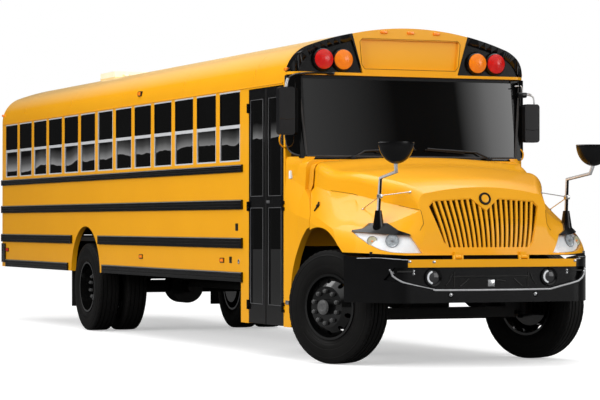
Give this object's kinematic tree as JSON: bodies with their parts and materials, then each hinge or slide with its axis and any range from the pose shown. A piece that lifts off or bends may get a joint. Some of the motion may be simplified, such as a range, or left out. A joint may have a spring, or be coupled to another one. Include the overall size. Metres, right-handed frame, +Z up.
{
  "type": "school bus",
  "caption": "Full-size conventional school bus with a sloping hood, steered front wheels, twin rear wheels, a long row of side windows and a two-leaf entrance door.",
  "frame": {"origin": "on the ground, under the middle of the overall length and width", "axes": "+X forward, +Y to the driver's (left) side, +Z up"},
  "size_m": [12.111, 2.6976, 3.1798],
  "materials": {
    "amber_lens": "clear amber lens",
    "black_paint": "glossy black paint",
    "black_plastic": "satin black plastic",
    "cast_grey": "painted castings",
    "chassis_black": "satin black chassis paint",
    "clear_lens": "clear lens",
    "dark_glass": "tinted glass",
    "floor_mat": "ribbed rubber floor",
    "red_lens": "clear red lens",
    "rubber": "matte black rubber",
    "seat_vinyl": "dark green vinyl",
    "stop_red": "red reflective sheet",
    "tyre": "matte black rubber",
    "window_aluminium": "satin mill finish",
    "yellow_paint": "glossy school-bus yellow paint"
  },
  "bodies": {
    "coach": {"amber_lamps": "amber_lens", "cowl": "yellow_paint", "dashboard": "black_plastic", "doorway": "yellow_paint", "engine_and_shaft": "cast_grey", "exhaust": "chassis_black", "floor": "floor_mat", "frame_rails": "chassis_black", "front_axle_beam": "chassis_black", "front_bumper": "black_paint", "fuel_tank": "chassis_black", "lamp_panels": "black_plastic", "leaf_springs": "chassis_black", "mud_flaps": "rubber", "rear_axle_beam": "chassis_black", "rear_bumper": "black_paint", "rear_wall": "yellow_paint", "red_lamps": "red_lens", "roof": "yellow_paint", "roof_cap": "yellow_paint", "rub_rails": "black_paint", "seats": "seat_vinyl", "side_mirrors": "black_plastic", "side_wall_left": "yellow_paint", "side_wall_right": "yellow_paint", "skirt_left": "yellow_paint", "skirt_right": "yellow_paint", "step_well": "chassis_black", "stop_arm_bracket": "black_plastic", "window_frames": "window_aluminium", "window_panes": "dark_glass", "windshield_frame": "black_paint", "wipers": "black_plastic"},
    "knuckle_left": {"knuckle_left": "chassis_black"},
    "knuckle_right": {"knuckle_right": "chassis_black"},
    "front_wheel_left": {"front_tyre_left": "tyre", "front_wheel_left": "chassis_black"},
    "front_wheel_right": {"front_tyre_right": "tyre", "front_wheel_right": "chassis_black"},
    "rear_wheels_left": {"rear_tyres_left": "tyre", "rear_wheels_left": "chassis_black"},
    "rear_wheels_right": {"rear_tyres_right": "tyre", "rear_wheels_right": "chassis_black"},
    "tie_rod": {"tie_rod": "chassis_black"},
    "hood": {"hood": "yellow_paint", "grille": "yellow_paint", "headlamps": "clear_lens", "crossview_mirrors": "black_plastic"},
    "door_leaf_rear": {"door_leaf_rear": "black_paint", "door_panes_rear": "dark_glass"},
    "door_leaf_front": {"door_leaf_front": "black_paint", "door_panes_front": "dark_glass"},
    "rear_door": {"rear_door": "yellow_paint", "rear_door_panes": "dark_glass"},
    "stop_arm": {"stop_arm": "stop_red"},
    "roof_hatch": {"roof_hatch": "black_plastic"}
  },
  "joints": [
    {"name": "steer_left", "type": "hinge", "parent": "coach", "child": "knuckle_left", "pos_m": [4.7555, 0.876, 0.512], "axis": [0, 0, 1], "range_deg": [-69, 21]},
    {"name": "steer_right", "type": "hinge", "parent": "coach", "child": "knuckle_right", "pos_m": [4.7555, -0.876, 0.512], "axis": [0, 0, 1], "range_deg": [-69, 21]},
    {"name": "tie_rod_pivot", "type": "hinge", "parent": "knuckle_left", "child": "tie_rod", "pos_m": [4.59106, 0.80279, 0.416], "axis": [0, 0, 1], "range_deg": [-21, 69]},
    {"name": "front_wheel_left_spin", "type": "hinge", "parent": "knuckle_left", "child": "front_wheel_left", "pos_m": [4.69083, 1.02125, 0.512], "axis": [-0.4067, 0.9135, 0], "continuous": true},
    {"name": "front_wheel_right_spin", "type": "hinge", "parent": "knuckle_right", "child": "front_wheel_right", "pos_m": [4.82017, -1.02125, 0.512], "axis": [-0.4067, 0.9135, 0], "continuous": true},
    {"name": "rear_wheels_left_spin", "type": "hinge", "parent": "coach", "child": "rear_wheels_left", "pos_m": [-2.2545, 0.9105, 0.512], "axis": [0, 1, 0], "continuous": true},
    {"name": "rear_wheels_right_spin", "type": "hinge", "parent": "coach", "child": "rear_wheels_right", "pos_m": [-2.2545, -0.9105, 0.512], "axis": [0, 1, 0], "continuous": true},
    {"name": "hood_tilt", "type": "hinge", "parent": "coach", "child": "hood", "pos_m": [5.8275, 0, 0.966], "axis": [0, 1, 0], "range_deg": [0, 60]},
    {"name": "door_leaf_rear_hinge", "type": "hinge", "parent": "coach", "child": "door_leaf_rear", "pos_m": [3.1085, -1.231, 0.3], "axis": [0, 0, -1], "range_deg": [0, 90]},
    {"name": "door_leaf_front_hinge", "type": "hinge", "parent": "coach", "child": "door_leaf_front", "pos_m": [4.0025, -1.231, 0.3], "axis": [0, 0, 1], "range_deg": [0, 90]},
    {"name": "rear_door_hinge", "type": "hinge", "parent": "coach", "child": "rear_door", "pos_m": [-6.0205, -0.463, 1.1], "axis": [0, 0, 1], "range_deg": [0, 110]},
    {"name": "stop_arm_hinge", "type": "hinge", "parent": "coach", "child": "stop_arm", "pos_m": [2.4675, 1.264, 1.26], "axis": [0, 0, -1], "range_deg": [0, 90]},
    {"name": "roof_hatch_hinge", "type": "hinge", "parent": "coach", "child": "roof_hatch", "pos_m": [-3.9865, 0, 3.1283], "axis": [0, 1, 0], "range_deg": [0, 80]}
  ],
  "couplings": [
    {"joint": "steer_right", "follows": "steer_left", "ratio": 1},
    {"joint": "tie_rod_pivot", "follows": "steer_left", "ratio": -1},
    {"joint": "door_leaf_front_hinge", "follows": "door_leaf_rear_hinge", "ratio": 1}
  ]
}
